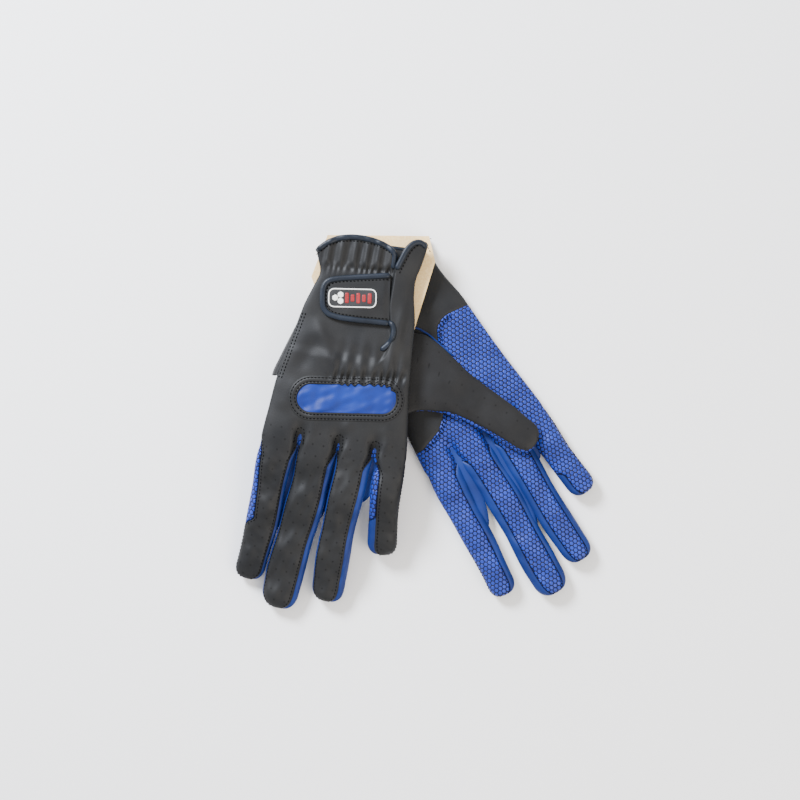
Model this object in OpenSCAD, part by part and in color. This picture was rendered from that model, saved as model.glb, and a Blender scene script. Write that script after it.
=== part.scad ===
// A pair of thin sports gloves lying flat for display: the left glove, back up,
// rests on a card and on the right glove, which lies palm up. Millimetres, +Z up,
// fingers towards -Y. Each glove is drawn once in its own frame (x towards the little
// finger, y towards the cuff, z from the palm's face to the back) and then laid down.

/* [Glove] */
// Thickness of a hand or finger stall as it lies, outside to outside
glove_h = 11; // [10:0.5:14]
// Thickness of one layer of leather or palm fabric
skin_t = 1.2; // [0.8:0.1:1.6]
// How far the cuff's back is set in, so that the closed tab lies flush
cuff_step = 3; // [2.6:0.1:3.4]
// Width of the bound edges
bind_w = 2.6; // [2:0.1:3.2]

/* [Fingers] */
// Index stall, from its hinge line to its tip
index_len = 95; // [85:1:100]
// Middle stall, from its hinge line to its tip
middle_len = 110; // [95:1:112]
// Ring stall, from its hinge line to its tip
ring_len = 100; // [90:1:105]
// Little stall, from its hinge line to its tip
little_len = 64; // [56:1:75]
// Gap between a finger stall and the hand along the hinge line
hinge_gap = 1.3; // [1.2:0.1:1.6]

/* [Thumb] */
// Thickness of the thumb as it lies folded across the palm
thumb_h = 5.5; // [5:0.1:6.5]
// Room between the folded thumb and the palm, which lets the card in
thumb_gap = 1.1; // [1.1:0.1:1.5]
// Radius of the thumb's tip
thumb_tip_r = 11.3; // [10:0.1:12]

/* [Closure tab] */
// Width of the tab where it is sewn to the flap
tab_root_w = 33; // [30:1:34]
// Width of the tab near its free end
tab_end_w = 26; // [22:1:28]
// Length of the tab
tab_len = 44; // [40:1:46]
// Length of the badge
badge_len = 31.4; // [28:0.2:33]
// Width of the badge
badge_w = 12.9; // [11:0.1:14]

/* [Knuckle panel] */
// Length of the oval stretch panel
oval_len = 64; // [58:1:66]
// Width of the oval stretch panel
oval_w = 19; // [16:0.5:21]

/* [Display] */
// Thickness of the display card
card_t = 0.5; // [0.4:0.1:0.6]
// Clearance between pieces that lie on each other
clear = 0.3; // [0.3:0.1:0.5]

/* [Hidden] */
$fn = 48;
GLOVES = ["left", "right"];
FINGERS = ["index", "middle", "ring", "little"];
HAND_PARTS = ["back_panel", "knuckle_panel", "palm_panel", "palm_heel", "cuff_back",
              "cuff_flap", "cuff_binding", "flap_binding", "wrist_elastic", "loop_patch",
              "thumb_gusset"];
TAB_PARTS = ["wrist_tab", "tab_binding", "hook_patch", "tab_badge"];
FINGER_PARTS = ["back", "palm", "fourchette"];
THUMB_PARTS = ["back", "palm"];

LEATHER = "#2b2c2e";
STRETCH = "#2f63c8";
GRIP = "#3f55c4";
TRIM = "#232a33";

// Where each glove's frame stands: x, y and turn about Z
place_of = [[-53.8, -10.9, -10.4], [39, -6.4, 30]];
// The whole pair is moved by this much, so that the origin is in the middle of its footprint
centre_shift = [2.78, 0.02];
// The lower glove is drawn in across its width, as its sides roll up towards the palm
squeeze_of = [1, 0.93];
// Its cuff is bunched up as well: what lies past this line is shortened
bunch_y = 110;
bunch_of = [1, 0.72];
left_z = glove_h + thumb_gap + thumb_h + 2 * clear + card_t;

// Finger stalls, index to little: hinge centre, lean of the stall, widths, and the droop
// that lays the upper glove's fingertips down on the table
hinge_y = -4;
stall_x = [-34.5, -9.6, 14.4, 36.9];
stall_lean = [[-3, -3.9, -1.3, 4.6], [-3.5, 0.8, 2.1, 6.2]];
stall_len = [index_len, middle_len, ring_len, little_len];
stall_root_w = [23.6, 24.4, 22.2, 20.2];
stall_tip_w = [19, 24, 21.5, 18.6];
stall_droop = [11.2, 9.6, 13.5, 22];
// How far past the hinge line a stall first bends. The folded thumb lies across the roots
// of the ring and little stalls, so those two are part of the hand as far as this.
stall_base = [0, 0, 24, 24];

// The hand's side edges, from the finger hinge to the top of the cuff
thumb_side = [[-46.5, -4], [-45.3, 12], [-44, 31], [-35, 82], [-28, 104]];
little_side = [[34.7, 119.6], [32.3, 109], [33.3, 99], [37, 83], [39.2, 57], [41.7, 35], [45.6, 9],
               [47.2, -4]];
cuff_top = [[-34, 118], [-20.3, 128.3], [-5.6, 130.4], [7.5, 129.6], [17.4, 124.4]];
flap_top = [[20, 124.4], [23.8, 129.3], [28.2, 134], [33.9, 134.4], [36.4, 131.5]];
hand_end_y = 62;
slit_x = 18.7;
slit_w = 1;
cross_lean = 9;

// Where the grip fabric of the palm stops and the plain leather heel starts
grip_edge = [[-60, 4], [-40, 6], [-24, 12.6], [-14, 22], [0, 45], [6, 62], [9, 69],
             [15, 74.5], [23, 76], [60, 73]];

// The line across the thumb where the stall bends, and its outline on both sides
thumb_hinge = [[-30, 35], [9, 54]];
thumb_turn = atan2(thumb_hinge[1].y - thumb_hinge[0].y, thumb_hinge[1].x - thumb_hinge[0].x);
thumb_tip = [24.5, -14.5];

// The display card, held between the left glove's palm and its folded thumb
card_edge = [[-28.2, 128], [-33.6, 100], [-29.5, 93], [-29, 78], [-20, 42], [33, 42],
             [42.5, 123.6], [35.7, 139]];

// The tab's own frame: on its fold line, x towards its free end
tab_root = [18.4, 94.5];
tab_z = glove_h - 0.3 - skin_t;
tab_corner_r = 9;

module lay(g) {
    i = g == "left" ? 0 : 1;
    $glove = i;
    $squeeze = squeeze_of[i];
    $bunch = bunch_of[i];
    translate([place_of[i].x + centre_shift.x, place_of[i].y + centre_shift.y, 0])
        rotate(place_of[i].z)
            if (g == "left") translate([0, 0, left_z]) children();
            else translate([0, 0, glove_h]) mirror([0, 0, 1]) children();
}

module slab(z0, z1) translate([0, 0, z0]) linear_extrude(z1 - z0) children();

module soften(r) offset(r = r) offset(delta = -r) children();

// The whole hand, from the finger hinge to the cuff's edge. past_end carries the side
// edges on past the finger hinge.
module hand_outline(cuff_drop = 0, past_end = 0.01) {
    top = concat(cuff_top, flap_top);
    edge = concat([thumb_side[0] - [0, past_end]], thumb_side,
        [for (p = top) [p.x, p.y - cuff_drop]], little_side,
        [little_side[len(little_side) - 1] - [0, past_end]]);
    drawn([for (i = [len(edge) - 1 : -1 : 0]) edge[i]]);
}

// A polygon of the glove's own outline, drawn in where the glove is
module drawn(points) polygon([for (p = points)
    [p.x * $squeeze, min(p.y, bunch_y) + max(p.y - bunch_y, 0) * $bunch]]);

module band(y0, y1) translate([-100, y0]) square([200, y1 - y0]);

// A side wall that follows the hand's two edges and leaves finger and cuff ends open
module side_walls(y0, y1) difference() {
    intersection() {
        hand_outline();
        band(y0, y1);
    }
    offset(delta = -skin_t) hand_outline(0, 20);
}

// The back of the hand, its side walls and the step down to the set-in cuff
module back_panel() color(LEATHER) union() {
    slab(glove_h - skin_t, glove_h) difference() {
        union() {
            intersection() {
                hand_outline();
                band(hinge_y, hand_end_y);
            }
            stall_bases();
        }
        oval();
    }
    slab(skin_t, glove_h - skin_t) {
        side_walls(hinge_y, hand_end_y);
        stall_bases(true);
    }
    slab(cuff_z - skin_t, glove_h - skin_t) intersection() {
        hand_outline();
        band(hand_end_y - skin_t, hand_end_y);
    }
}

module oval() translate([2.8 * $squeeze, 27.2]) rotate(cross_lean) {
    for (s = [-1, 1]) translate([s * (oval_len - oval_w) / 2, 0]) circle(d = oval_w);
    square([oval_len - oval_w, oval_w], center = true);
}

module knuckle_panel() color(STRETCH) slab(glove_h - skin_t, glove_h - skin_t / 2) oval();

module palm_area(grip) intersection() {
    intersection() {
        hand_outline(2);
        band(hinge_y, 200);
    }
    if (grip) polygon(concat(grip_edge, [[60, -50], [-60, -50]]));
    else polygon(concat(grip_edge, [[60, 200], [-60, 200]]));
}

module palm_panel() color(GRIP) slab(0, skin_t) {
    palm_area(true);
    stall_bases();
}

module palm_heel() color(LEATHER) slab(0, skin_t) palm_area(false);

cuff_z = glove_h - cuff_step;

// Cuff half, from the hand's end to its bound edge, on one side of the slit
module cuff_half(thumb_half) intersection() {
    hand_outline(bind_w);
    translate([thumb_half ? -100 : slit_x + slit_w / 2, hand_end_y])
        square([thumb_half ? 100 + slit_x - slit_w / 2 : 100, 100]);
}

module cuff_half_shell(thumb_half) union() {
    slab(cuff_z - skin_t, cuff_z) cuff_half(thumb_half);
    slab(skin_t, cuff_z - skin_t) intersection() {
        cuff_half(thumb_half);
        side_walls(hand_end_y, 112);
    }
}

module cuff_back() color(LEATHER) cuff_half_shell(true);

// The flap carries the strip that the tab is sewn to
module cuff_flap() color(LEATHER) union() {
    cuff_half_shell(false);
    slab(cuff_z - skin_t, cuff_z + clear) intersection() {
        tab_strip();
        translate([slit_x + slit_w / 2, 0]) square([100, 200]);
    }
    slab(cuff_z + clear, tab_z + skin_t) tab_strip();
}

module tab_strip() at_tab() translate([-4, -tab_root_w / 2]) square([3.6, tab_root_w]);

// A bound edge: a band of the binding's width under a line of points
module bound_edge(line) color(TRIM) slab(cuff_z - skin_t - 0.4, cuff_z + 0.4)
    drawn(concat([for (p = line) [p.x, p.y - bind_w]],
        [for (i = [len(line) - 1 : -1 : 0]) line[i]]));

module cuff_binding() bound_edge([for (p = cuff_top) [min(p.x, slit_x - slit_w / 2), p.y]]);

module flap_binding() bound_edge(flap_top);

module elastic(at, size, z) color("#dcdcdc") translate([at.x, at.y, z - 0.6])
    rotate(cross_lean) translate([-size.x / 2, -size.y / 2, 0]) cube([size.x, size.y, 0.6]);

module wrist_elastic() elastic([-5, 109.5], [40, 6], cuff_z - skin_t);

// Children are drawn in the tab's frame, with x towards its free end
module at_tab() translate([tab_root.x, tab_root.y, 0]) rotate(cross_lean) mirror([1, 0, 0])
    children();

module tab_outline() soften(tab_corner_r) polygon([[0, -tab_root_w / 2], [0, tab_root_w / 2],
    [tab_len, tab_end_w / 2], [tab_len, -tab_end_w / 2]]);

module tab_shape() {
    tab_outline();
    translate([0, -tab_root_w / 2]) square([tab_corner_r, tab_root_w]);
}

module wrist_tab() color(LEATHER) slab(tab_z, tab_z + skin_t) at_tab() difference() {
    tab_shape();
    tab_rim();
}

module tab_rim() difference() {
    tab_shape();
    offset(delta = -bind_w) tab_shape();
    translate([-1, -tab_root_w / 2 + bind_w]) square([bind_w + 2, tab_root_w - 2 * bind_w]);
}

module tab_binding() color(TRIM) slab(tab_z - 0.3, glove_h) at_tab() tab_rim();

module hook_patch() color("#1c1c1e") slab(tab_z - 0.7, tab_z) at_tab()
    translate([tab_len - 29, -9]) square([24, 18]);

module loop_patch() color("#26262a") slab(cuff_z, cuff_z + 0.7) at_tab()
    translate([tab_len - 36, -10]) square([32, 20]);

module tab_badge() color("#d8262f") slab(tab_z + skin_t, glove_h) at_tab()
    translate([8, -badge_w / 2]) soften(3) square([badge_len, badge_w]);

// Half the width of a stall at a distance t past the hinge line
function straight_len(i) = stall_len[i] - stall_tip_w[i] / 2;
function half_w(i, t) = let (k = t / straight_len(i))
    stall_root_w[i] * $squeeze / 2 * (1 - k) + stall_tip_w[i] / 2 * k;

// The tapered part of a stall between two distances, in its own frame with the hinge
// line on the x axis
module taper(i, t0, t1, inset = 0) polygon([[-half_w(i, t0) + inset, -t0],
    [-half_w(i, t1) + inset, -t1], [half_w(i, t1) - inset, -t1], [half_w(i, t0) - inset, -t0]]);

// Outline of the part of a stall that moves
module stall_outline(i, inset = 0, back_to = hinge_gap) {
    translate([0, -straight_len(i)]) circle(r = stall_tip_w[i] / 2 - inset);
    taper(i, stall_base[i] + back_to, straight_len(i), inset);
}

// The open ring between two layers: the strip that joins a stall's back and palm
module stall_wall(i) difference() {
    stall_outline(i);
    stall_outline(i, skin_t, hinge_gap - 1);
}

// The roots of the ring and little stalls, or only their walls
module stall_bases(walls = false) for (i = [2, 3]) translate([stall_x[i] * $squeeze, hinge_y])
    rotate(stall_lean[$glove][i]) difference() {
        taper(i, -1, stall_base[i]);
        if (walls) taper(i, -2, stall_base[i] + 1, skin_t);
    }

module at_stall(g, i) translate([stall_x[i] * $squeeze, hinge_y, 0])
    rotate(stall_lean[$glove][i]) translate([0, -stall_base[i], 0])
        rotate([g == "left" ? stall_droop[i] : 0, 0, 0]) translate([0, stall_base[i], 0]) children();

module finger_part(g, i, part) at_stall(g, i) {
    if (part == "back") color(LEATHER) slab(glove_h - skin_t, glove_h) stall_outline(i);
    if (part == "palm") color(GRIP) slab(0, skin_t) stall_outline(i);
    if (part == "fourchette") color(STRETCH) slab(skin_t, glove_h - skin_t) stall_wall(i);
}

// The folded thumb: everything past the hinge line is the stall, the rest the gusset
module thumb_whole(inset = 0) offset(delta = -inset) {
    drawn([[-43.1, 34.5], [-34.6, 82.5], [-8, 82], [2, 74], [12, 41], [30, 3], [35, -11],
        [14.5, -19], [0, 4.6], [-14.2, 22.2], [-30, 33]]);
    translate([thumb_tip.x * $squeeze, thumb_tip.y]) circle(r = thumb_tip_r);
}

module past_hinge(gap) translate([thumb_hinge[0].x * $squeeze, thumb_hinge[0].y]) rotate(thumb_turn)
    translate([-100, -200 - gap]) square([300, 200]);

module thumb_stall_outline(inset = 0, gap = clear) intersection() {
    thumb_whole(inset);
    past_hinge(gap);
}

module thumb_part(part) {
    z0 = -thumb_gap - thumb_h;
    if (part == "palm") color(GRIP) slab(-thumb_gap - skin_t, -thumb_gap) thumb_stall_outline();
    if (part == "back") color(LEATHER) {
        slab(z0, z0 + skin_t) thumb_stall_outline();
        slab(z0 + skin_t, -thumb_gap - skin_t) difference() {
            thumb_stall_outline();
            thumb_stall_outline(skin_t, -1);
        }
    }
}

// The leather that carries the thumb round the hand's edge and onto the palm
module thumb_gusset() color(LEATHER) {
    z0 = -thumb_gap - thumb_h;
    for (z = [z0, -thumb_gap - skin_t]) slab(z, z + skin_t) difference() {
        thumb_whole();
        past_hinge(-clear);
    }
    slab(z0 + skin_t, -thumb_gap - skin_t) difference() {
        thumb_whole();
        past_hinge(-clear);
        thumb_whole(skin_t);
    }
    slab(-thumb_gap, 0) intersection() {
        difference() {
            thumb_whole();
            thumb_whole(skin_t);
        }
        drawn([[-43.5, 34], [-40, 36], [-32, 80], [-35, 82.6]]);
    }
}

module insert_card() color("#e9d9bd") lay("left")
    slab(-clear - card_t, -clear) polygon(card_edge);

module hand_part(part) {
    if (part == "back_panel") back_panel();
    if (part == "knuckle_panel") knuckle_panel();
    if (part == "palm_panel") palm_panel();
    if (part == "palm_heel") palm_heel();
    if (part == "cuff_back") cuff_back();
    if (part == "cuff_flap") cuff_flap();
    if (part == "cuff_binding") cuff_binding();
    if (part == "flap_binding") flap_binding();
    if (part == "wrist_elastic") wrist_elastic();
    if (part == "loop_patch") loop_patch();
    if (part == "thumb_gusset") thumb_gusset();
    if (part == "wrist_tab") wrist_tab();
    if (part == "tab_binding") tab_binding();
    if (part == "hook_patch") hook_patch();
    if (part == "tab_badge") tab_badge();
}

for (g = GLOVES) {
    for (p = concat(HAND_PARTS, TAB_PARTS))
        lay(g) hand_part(p);
    for (i = [0 : 3]) for (p = FINGER_PARTS)
        lay(g) finger_part(g, i, p);
    for (p = THUMB_PARTS)
        lay(g) thumb_part(p);
}
insert_card();
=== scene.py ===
# %% [markdown]
# # A pair of thin sports gloves
# The gloves are cut from thin black leather, blue stretch knit and a blue palm fabric with
# raised hexagons. They lie crossed on a table: the left glove, back up, on the right
# glove, palm up. Both are the same pattern, so every surface below is worked out once in
# the glove's own frame, in millimetres, and then laid down twice: x runs to the little
# finger, y to the cuff and z from the palm's face to the back.

# %% Tools and the CAD frame
import math
import bmesh
import bpy
import numpy as np
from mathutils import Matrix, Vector


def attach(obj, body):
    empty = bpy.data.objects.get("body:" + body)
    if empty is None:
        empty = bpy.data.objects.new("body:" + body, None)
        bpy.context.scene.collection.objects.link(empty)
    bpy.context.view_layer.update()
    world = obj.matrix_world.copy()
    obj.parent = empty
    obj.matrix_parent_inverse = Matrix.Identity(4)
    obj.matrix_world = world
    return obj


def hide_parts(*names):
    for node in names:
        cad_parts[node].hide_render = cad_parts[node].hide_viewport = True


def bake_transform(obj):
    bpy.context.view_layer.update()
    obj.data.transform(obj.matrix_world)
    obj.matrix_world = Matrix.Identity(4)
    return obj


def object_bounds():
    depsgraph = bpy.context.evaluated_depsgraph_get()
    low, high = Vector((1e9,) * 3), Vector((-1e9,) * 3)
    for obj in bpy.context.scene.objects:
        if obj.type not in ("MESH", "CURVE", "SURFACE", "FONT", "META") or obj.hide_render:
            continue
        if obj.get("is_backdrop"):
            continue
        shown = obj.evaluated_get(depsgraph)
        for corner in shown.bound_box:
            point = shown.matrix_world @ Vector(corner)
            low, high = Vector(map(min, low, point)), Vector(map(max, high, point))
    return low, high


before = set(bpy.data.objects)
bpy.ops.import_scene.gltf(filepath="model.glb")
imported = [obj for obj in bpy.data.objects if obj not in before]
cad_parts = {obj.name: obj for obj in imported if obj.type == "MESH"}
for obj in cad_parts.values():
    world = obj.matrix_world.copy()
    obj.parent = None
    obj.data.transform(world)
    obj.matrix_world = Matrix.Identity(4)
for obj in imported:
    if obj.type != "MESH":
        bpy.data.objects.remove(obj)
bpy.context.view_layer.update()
MM = 0.001

# %% [markdown]
# The camera comes first. It looks straight down from 1.6 m with a long lens, so the
# gloves show in plan with hardly any perspective.

# %% Camera
CAMERA_HEIGHT = 1.6
VIEW_WIDTH = 0.512      # metres across the picture, at the gloves' mid height
camera_data = bpy.data.cameras.new("plan_camera")
camera_data.sensor_width = 36
camera_data.lens = 36 * (CAMERA_HEIGHT - 0.015) / VIEW_WIDTH
camera = bpy.data.objects.new("plan_camera", camera_data)
camera.location = (-0.0094, 0.0147, CAMERA_HEIGHT)
bpy.context.scene.collection.objects.link(camera)
bpy.context.scene.camera = camera
print("lens:", round(camera_data.lens, 1), "mm")

# %% [markdown]
# Materials are node trees. Two small helpers are all they need: one turns an sRGB hex
# value into the linear colour that Blender works in, and one adds a node, sets its
# values and links its inputs.

# %% Colour and node helpers
def colour(hex_value):
    """sRGB hex to linear RGBA: each channel c becomes ((c + 0.055) / 1.055) ** 2.4."""
    c = np.array([int(hex_value[i:i + 2], 16) / 255 for i in (1, 3, 5)])
    linear = np.where(c <= 0.04045, c / 12.92, ((c + 0.055) / 1.055) ** 2.4)
    return (*linear.tolist(), 1.0)


def add(tree, kind, inputs=(), **settings):
    """Adds a node of a kind, sets its own settings, then for each input sets a value or
    links an output socket."""
    node = tree.nodes.new("ShaderNode" + kind)
    for name, value in settings.items():
        setattr(node, name, value)
    for key, value in dict(inputs).items():
        if isinstance(value, bpy.types.NodeSocket):
            tree.links.new(value, node.inputs[key])
        else:
            node.inputs[key].default_value = value
    return node


def start(name, base, roughness, **sockets):
    """A new material with its Principled shader's constants set on the shader itself."""
    made = bpy.data.materials.new(name)
    made.use_nodes = True
    shader = made.node_tree.nodes["Principled BSDF"]
    shader.inputs["Base Color"].default_value = colour(base)
    shader.inputs["Roughness"].default_value = roughness
    for key, value in sockets.items():
        shader.inputs[key.replace("_", " ")].default_value = value
    return made, made.node_tree, shader


def ramp(tree, factor, low, high, a=0.0, b=1.0):
    """A colour between low and high as factor goes from a to b."""
    node = add(tree, "ValToRGB", {"Fac": factor})
    first, last = node.color_ramp.elements
    first.position, first.color = a, colour(low)
    last.position, last.color = b, colour(high)
    return node.outputs["Color"]


def remap(tree, value, *span, **settings):
    """A value mapped from one range to another, 0 to 1 where none is given."""
    names = ("From Min", "From Max", "To Min", "To Max")
    return add(tree, "MapRange", {"Value": value, **dict(zip(names, span))},
               **settings).outputs["Result"]


def combine(tree, operation, a, b):
    return add(tree, "Math", {0: a, 1: b}, operation=operation).outputs[0]


def vector(tree, operation, inputs, output=0):
    return add(tree, "VectorMath", dict(enumerate(inputs)), operation=operation).outputs[output]


def blend(tree, factor, a, b):
    mix = add(tree, "Mix", {"Factor": factor, "A": colour(a), "B": b}, data_type="RGBA")
    return mix.outputs["Result"]


def noise(tree, place, scale, detail, roughness=0.5):
    return add(tree, "TexNoise", {"Vector": place, "Scale": scale, "Detail": detail,
                                  "Roughness": roughness}).outputs["Fac"]


def grains(tree, place, size_mm):
    return add(tree, "TexVoronoi", {"Vector": place, "Scale": 1000 / size_mm},
               feature="F1").outputs["Distance"]


def nearest(tree, place, across, up, distance, first=0.0):
    """Distance to the nearest point of two lattices with cells of across by up, the second
    shifted by half a cell both ways. The distance function gets the offset's socket."""
    best = None
    for shift in (0.0, 0.5):
        moved = vector(tree, "ADD", (place, ((first + shift) * across, shift * up, 0)))
        offset = vector(tree, "WRAP", (moved, (-across / 2, -up / 2, -1),
                                       (across / 2, up / 2, 1)))
        far = distance(tree, offset)
        best = far if best is None else combine(tree, "MINIMUM", best, far)
    return best


def bump(tree, shader, height, strength, distance):
    """Feeds a height in 0 to 1 to the shader's normal; distance is its depth in metres."""
    node = add(tree, "Bump", {"Height": height, "Strength": strength, "Distance": distance})
    tree.links.new(node.outputs["Normal"], shader.inputs["Normal"])


# %% [markdown]
# Synthetic leather is a knit backing under a thin polyurethane skin, pressed with a fine
# grain. The grain is a cell pattern about 0.7 mm across, drawn a little coarser than the
# real 0.4 mm so that it shows, and slow patches of a greyer black stand for handling.

# %% Synthetic leather
def leather(name, dark, light, roughness, grain_mm=0.7, holes=None):
    made, tree, shader = start(name, dark, roughness, IOR=1.3)
    place = add(tree, "TexCoord").outputs["Object"]
    patches = noise(tree, place, 38.0, 4.0, 0.6)
    base = ramp(tree, patches, dark, light, 0.32, 0.72)
    rough = remap(tree, patches, 0.0, 1.0, roughness - 0.07, roughness + 0.08)
    height = combine(tree, "MULTIPLY", grains(tree, place, grain_mm), 0.5)
    if holes:
        base, height = punch(tree, base, height, *holes)
    tree.links.new(base, shader.inputs["Base Color"])
    tree.links.new(rough, shader.inputs["Roughness"])
    bump(tree, shader, height, 0.55, 0.00012)
    return made


def round_distance(tree, offset):
    return vector(tree, "LENGTH", (offset,), "Value")


def punch(tree, base, height, row_mm, pitch_mm):
    """Vent holes in rows along the pattern, row_mm apart and staggered: a hole is where
    the distance to the nearest hole's centre is under about 0.6 mm."""
    uv = add(tree, "UVMap", uv_map="cut").outputs["UV"]
    far = nearest(tree, uv, row_mm * MM, pitch_mm * MM, round_distance, 0.5)
    edge = remap(tree, far, 0.00045, 0.0007)
    return blend(tree, edge, "#050506", base), combine(tree, "MULTIPLY", edge, height)


HAND_LEATHER = leather("black_synthetic_leather", "#121315", "#1d1d1d", 0.52)
FINGER_LEATHER = leather("black_punched_leather", "#121315", "#1d1d1d", 0.52, holes=(7.0, 13.0))
THUMB_LEATHER = leather("black_thumb_leather", "#0f0f10", "#181819", 0.5, holes=(17.0, 8.6))
BOUND_LEATHER = leather("black_bound_edge", "#0e131a", "#1a212c", 0.42, 0.6)

# %% [markdown]
# The stretch knit between the fingers is nylon with elastane: a fine rib that catches
# the light softly. Its wales are about 0.5 mm apart, drawn at 0.8 mm so that they show.

# %% Stretch knit
def knit(name, dark, light, pitch_mm=0.8):
    made, tree, shader = start(name, light, 0.55, IOR=1.32, Sheen_Weight=0.06,
                               Sheen_Roughness=0.4)
    shader.inputs["Sheen Tint"].default_value = colour("#7fa6ff")
    place = add(tree, "TexCoord").outputs["Object"]
    patches = noise(tree, place, 45.0, 3.0)
    tree.links.new(ramp(tree, patches, dark, light, 0.35, 0.7), shader.inputs["Base Color"])
    bump(tree, shader, grains(tree, place, pitch_mm), 0.35, 0.0001)
    return made


STRETCH_KNIT = knit("blue_stretch_knit", "#061d56", "#0b2768")
KNUCKLE_KNIT = knit("blue_knuckle_knit", "#051f66", "#0a2b7c")

# %% [markdown]
# The palm fabric is printed with silicone hexagons, 3 mm from centre to centre. Each is
# a glossy raised pad, and the darker ground cloth shows in the lines between them. The
# pattern is measured on the flat-cut UV map, so it follows the fabric round a finger.

# %% Grip fabric
HEX_PITCH = 0.0030


def hexagon_distance(tree, offset):
    """The larger of |x| and |x| / 2 + |y| * 0.866: 0.5 all round a hexagon's edge."""
    size = vector(tree, "ABSOLUTE", (offset,))
    slanted = vector(tree, "DOT_PRODUCT", (size, (0.5, math.sqrt(3) / 2, 0)), "Value")
    straight = add(tree, "SeparateXYZ", {0: size}).outputs[0]
    return combine(tree, "MAXIMUM", slanted, straight)


def grip(name):
    made, tree, shader = start(name, "#3a53bd", 0.32, IOR=1.36)
    uv = add(tree, "UVMap", uv_map="cut").outputs["UV"]
    place = add(tree, "TexCoord").outputs["Object"]
    scaled = add(tree, "VectorMath", {0: uv, "Scale": 1 / HEX_PITCH}, operation="SCALE")
    apart = nearest(tree, scaled.outputs[0], 1.0, math.sqrt(3), hexagon_distance)
    pad = remap(tree, apart, 0.425, 0.36, interpolation_type="SMOOTHSTEP")
    top = ramp(tree, noise(tree, place, 120.0, 2.0), "#11277c", "#1c369a", 0.3, 0.7)
    tree.links.new(blend(tree, pad, "#01020a", top), shader.inputs["Base Color"])
    tree.links.new(remap(tree, pad, 0.0, 1.0, 0.75, 0.42), shader.inputs["Roughness"])
    crown = remap(tree, apart, 0.5, 0.25, interpolation_type="SMOOTHERSTEP")
    bump(tree, shader, crown, 0.8, 0.00035)
    return made


GRIP_FABRIC = grip("blue_hexagon_grip_fabric")

# %% [markdown]
# The small materials: polyester thread, paperboard, hook and loop tape, woven elastic
# and the soft moulded rubber of the badge.

# %% Thread, card, tapes and badge
def speckled(name, dark, light, roughness, grain_mm, depth_mm, **sockets):
    """A plain finish with a fine grain of a given width and depth."""
    made, tree, shader = start(name, light, roughness, **sockets)
    place = add(tree, "TexCoord").outputs["Object"]
    grain = noise(tree, place, 500 / grain_mm, 5.0)
    tree.links.new(ramp(tree, grain, dark, light, 0.35, 0.65), shader.inputs["Base Color"])
    bump(tree, shader, grain, 0.5, depth_mm * MM)
    return made


BLACK_THREAD = speckled("black_polyester_thread", "#020203", "#08080a", 0.9, 0.3, 0.05, IOR=1.15)
BLUE_THREAD = speckled("navy_polyester_thread", "#04071c", "#0a1134", 0.85, 0.3, 0.05, IOR=1.2)
PAPERBOARD = speckled("cream_paperboard", "#e8c285", "#f3d49c", 0.75, 0.6, 0.04)
HOOK_TAPE = speckled("black_hook_tape", "#060607", "#1b1b1d", 0.5, 0.8, 0.5)
LOOP_TAPE = speckled("black_loop_tape", "#0a0a0b", "#222225", 0.95, 0.5, 0.4)
ELASTIC = speckled("white_woven_elastic", "#bdbdbd", "#e2e2e2", 0.8, 0.5, 0.2)
BADGE_BLACK = speckled("black_soft_rubber", "#101113", "#1a1b1e", 0.45, 0.4, 0.03)
BADGE_WHITE = speckled("white_soft_rubber", "#dcdcd8", "#f2f2ee", 0.4, 0.4, 0.02)
BADGE_RED = speckled("red_soft_rubber", "#6e0009", "#8e020c", 0.5, 0.4, 0.02)
print("materials:", len(bpy.data.materials))

# %% [markdown]
# Each glove's frame stands where the CAD has it. The lower glove is turned over, so its
# z runs down, and it is drawn in a little across its width and bunched at the cuff.

# %% Where the two gloves lie
HALF = 5.5              # half the thickness of a hand or finger, mm
HINGE_Y = -4.0
LENGTHS = [95, 110, 100, 64]
ROOT_WIDTHS = [23.6, 24.4, 22.2, 20.2]
TIP_WIDTHS = [19.0, 24.0, 21.5, 18.6]
STALL_X = [-34.5, -9.6, 14.4, 36.9]
CROTCH_X = [-22.2, 2.9, 26.1]
BEND_AT = [0, 0, 24, 24]        # how far past the hinge line a stall bends
FINGERS = ["index", "middle", "ring", "little"]
SECTION_POWER = 3.2     # how square the hand's oval section is
THUMB_Z = -3.85         # middle of the folded thumb's thickness
CROSS_LEAN = math.radians(9)    # of the knuckle panel and the tab
CROSS_SLOPE, WRIST_SLOPE = 0.158, 0.137     # of the elastics at the knuckles and the wrist
OVAL_AT, OVAL_STRAIGHT, OVAL_R = (2.8, 27.2), 45.0, 9.5     # the knuckle panel
TIP_ROUND = 0.52        # length of a stall's rounded tip, in tip widths
PRESSED = 1.2           # the table presses flat what would lie lower than this
GLOVES = {
    "left": dict(at=(-51.02, -10.88), turn=-10.4, z=18.7, up=1, squeeze=1.0, bunch=1.0,
                 lean=[-3, -3.9, -1.3, 4.6], droop=[11.2, 9.6, 13.5, 22]),
    "right": dict(at=(41.78, -6.38), turn=30, z=11.0, up=-1, squeeze=0.93, bunch=0.72,
                  lean=[-3.5, 0.8, 2.1, 6.2], droop=[0, 0, 0, 0]),
}


def xyz(x, y, z):
    """Points from their coordinates, each an array or one number for all."""
    return np.stack(np.broadcast_arrays(x, y, z), -1)


def unit(vectors):
    return vectors / np.maximum(np.linalg.norm(vectors, axis=-1, keepdims=True), 1e-9)


def lengths(path):
    """Length of the path from its start to each of its points."""
    return np.r_[0, np.cumsum(np.linalg.norm(np.diff(path, axis=0), axis=1))]


def facing(sign, count):
    """The same normal, up or down, for every point of a path."""
    return np.tile([0, 0, float(sign)], (count, 1))


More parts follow.
